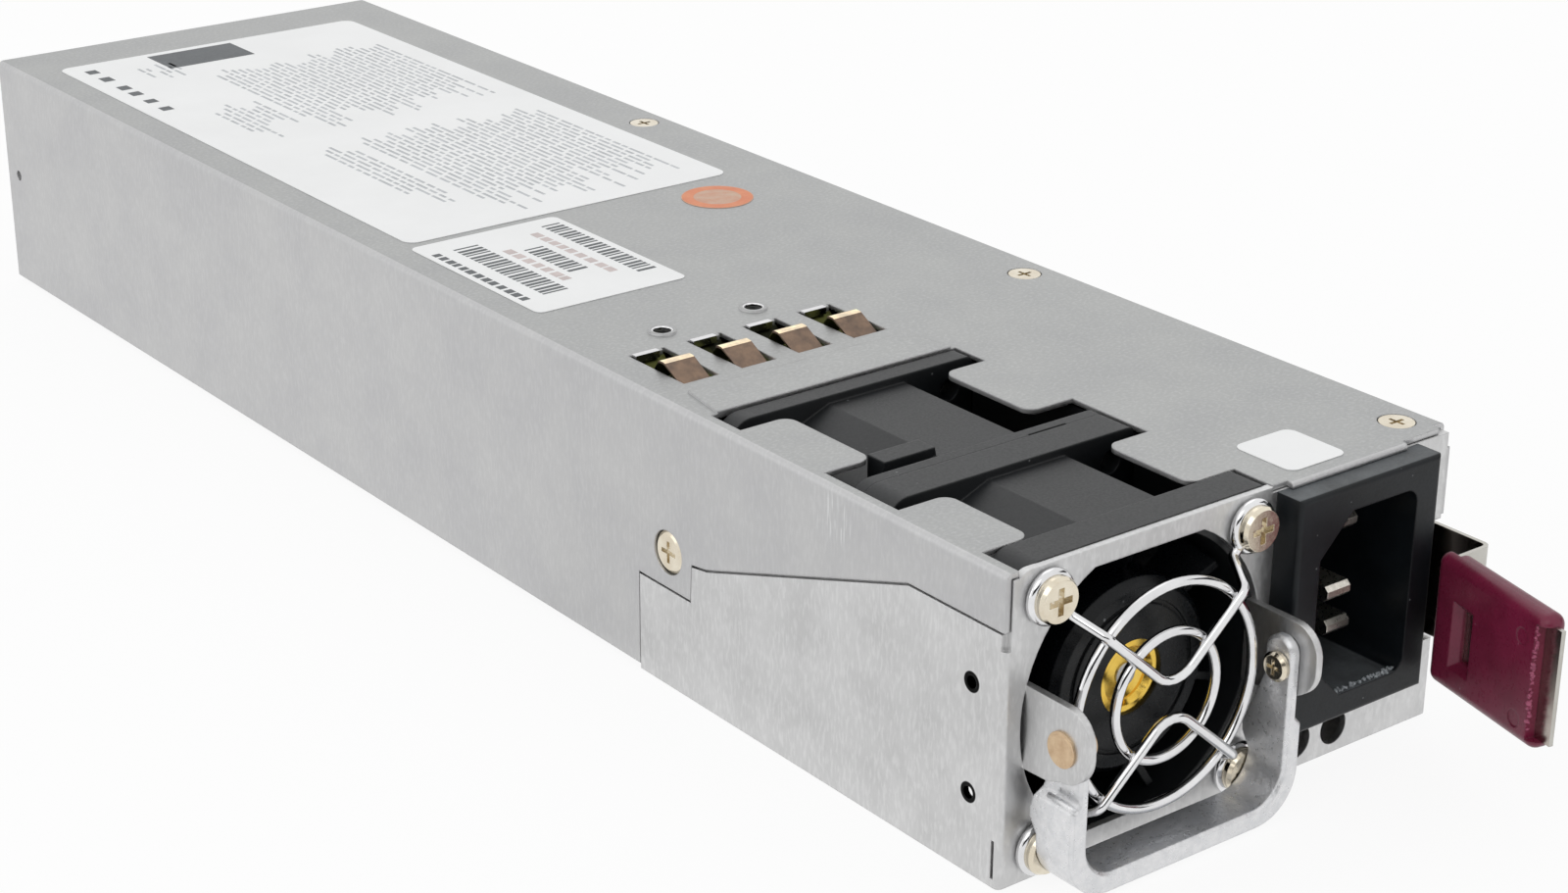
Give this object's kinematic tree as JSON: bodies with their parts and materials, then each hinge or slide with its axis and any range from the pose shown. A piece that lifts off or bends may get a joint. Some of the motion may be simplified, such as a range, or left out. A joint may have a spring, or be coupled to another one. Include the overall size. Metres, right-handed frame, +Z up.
{
  "type": "hot swap server power supply",
  "caption": "Slide-in server power supply: steel case, in-line fans behind a wire guard, mains inlet, hinged bail handle, sprung release latch and a rear card edge.",
  "frame": {"origin": "centre of the case's underside, on the surface it rests on", "axes": "+X to the right seen from the panel, +Y from the front panel to the rear card edge, +Z up"},
  "size_m": [0.0747, 0.3017, 0.0412],
  "materials": {
    "baffle_black": "black insulating sheet",
    "board_green": "glass-epoxy board, green mask",
    "brass": "turned brass, polished",
    "capacitor_sleeve": "black sleeve",
    "cast_handle": "cast aluminium, satin, slightly hammered",
    "component_block": "moulded case",
    "copper_wire": "enamelled copper wire",
    "fan_plastic": "black glass-filled moulding, matt",
    "ferrite": "ferrite, dark grey",
    "film_clear": "insulating film, yellowish",
    "finger_copper": "beryllium copper, bronze-brown",
    "galvanised_steel": "zinc-coated sheet, fine spangle, satin",
    "gold_contact": "gold flash on copper",
    "grip_plastic": "maroon moulding, semi-gloss",
    "guard_wire": "bright chrome-plated wire",
    "heatsink_aluminium": "extruded, plain",
    "inlet_metal": "dull nickel plate",
    "inlet_plastic": "charcoal moulding, satin",
    "rivet_tan": "passivated steel, warm tan",
    "rotor_plastic": "black moulding, satin",
    "screw_nickel": "bright nickel-plated steel",
    "spring_steel": "bare stainless strip",
    "stator_iron": "laminated iron with enamelled windings",
    "steel_shaft": "ground steel",
    "tape_yellow": "polyester tape, yellow"
  },
  "bodies": {
    "housing": {"board_posts": "screw_nickel", "bulk_capacitors": "capacitor_sleeve", "chassis": "galvanised_steel", "control_board": "board_green", "cover_screws": "screw_nickel", "edge_contacts": "gold_contact", "fan_baffle": "baffle_black", "fan_guard": "guard_wire", "filter_capacitor": "tape_yellow", "filter_choke": "copper_wire", "front_bearings": "steel_shaft", "front_fan_frame": "fan_plastic", "front_stator": "stator_iron", "guard_screws": "screw_nickel", "handle_pivot_screw": "screw_nickel", "handle_rivet": "rivet_tan", "inlet_blades": "inlet_metal", "inlet_body": "inlet_plastic", "inrush_relay": "component_block", "insulator_film": "film_clear", "latch_rivets": "rivet_tan", "main_board": "board_green", "output_capacitors": "capacitor_sleeve", "pfc_choke": "copper_wire", "primary_heatsink": "heatsink_aluminium", "rear_bearings": "steel_shaft", "rear_fan_frame": "fan_plastic", "rear_panel": "galvanised_steel", "rear_stator": "stator_iron", "secondary_heatsink": "heatsink_aluminium", "side_screw": "screw_nickel", "spring_fingers": "finger_copper", "top_cover": "galvanised_steel", "transformer_core": "ferrite", "transformer_winding": "tape_yellow"},
    "front_rotor": {"front_fan_rotor": "rotor_plastic", "front_rotor_boss": "brass", "front_rotor_shaft": "steel_shaft"},
    "rear_rotor": {"rear_fan_rotor": "rotor_plastic", "rear_rotor_boss": "brass", "rear_rotor_shaft": "steel_shaft"},
    "handle": {"bail_handle": "cast_handle"},
    "latch": {"latch_grip": "grip_plastic", "latch_spring": "spring_steel"}
  },
  "joints": [
    {"name": "front_rotor_spin", "type": "hinge", "parent": "housing", "child": "front_rotor", "pos_m": [-0.015, -0.1305, 0.0201], "axis": [0, 1, 0], "continuous": true},
    {"name": "rear_rotor_spin", "type": "hinge", "parent": "housing", "child": "rear_rotor", "pos_m": [-0.015, -0.099, 0.0201], "axis": [0, 1, 0], "continuous": true},
    {"name": "handle_swing", "type": "hinge", "parent": "housing", "child": "handle", "pos_m": [-0.015, -0.1389, 0.0202], "axis": [1, 0, 0], "range_deg": [-110, 0]},
    {"name": "latch_press", "type": "hinge", "parent": "housing", "child": "latch", "pos_m": [0.03545, -0.0985, 0.0181], "axis": [0, 0, 1], "range_deg": [-3.5, 0], "stiffness_Nm_per_rad": 3}
  ]
}
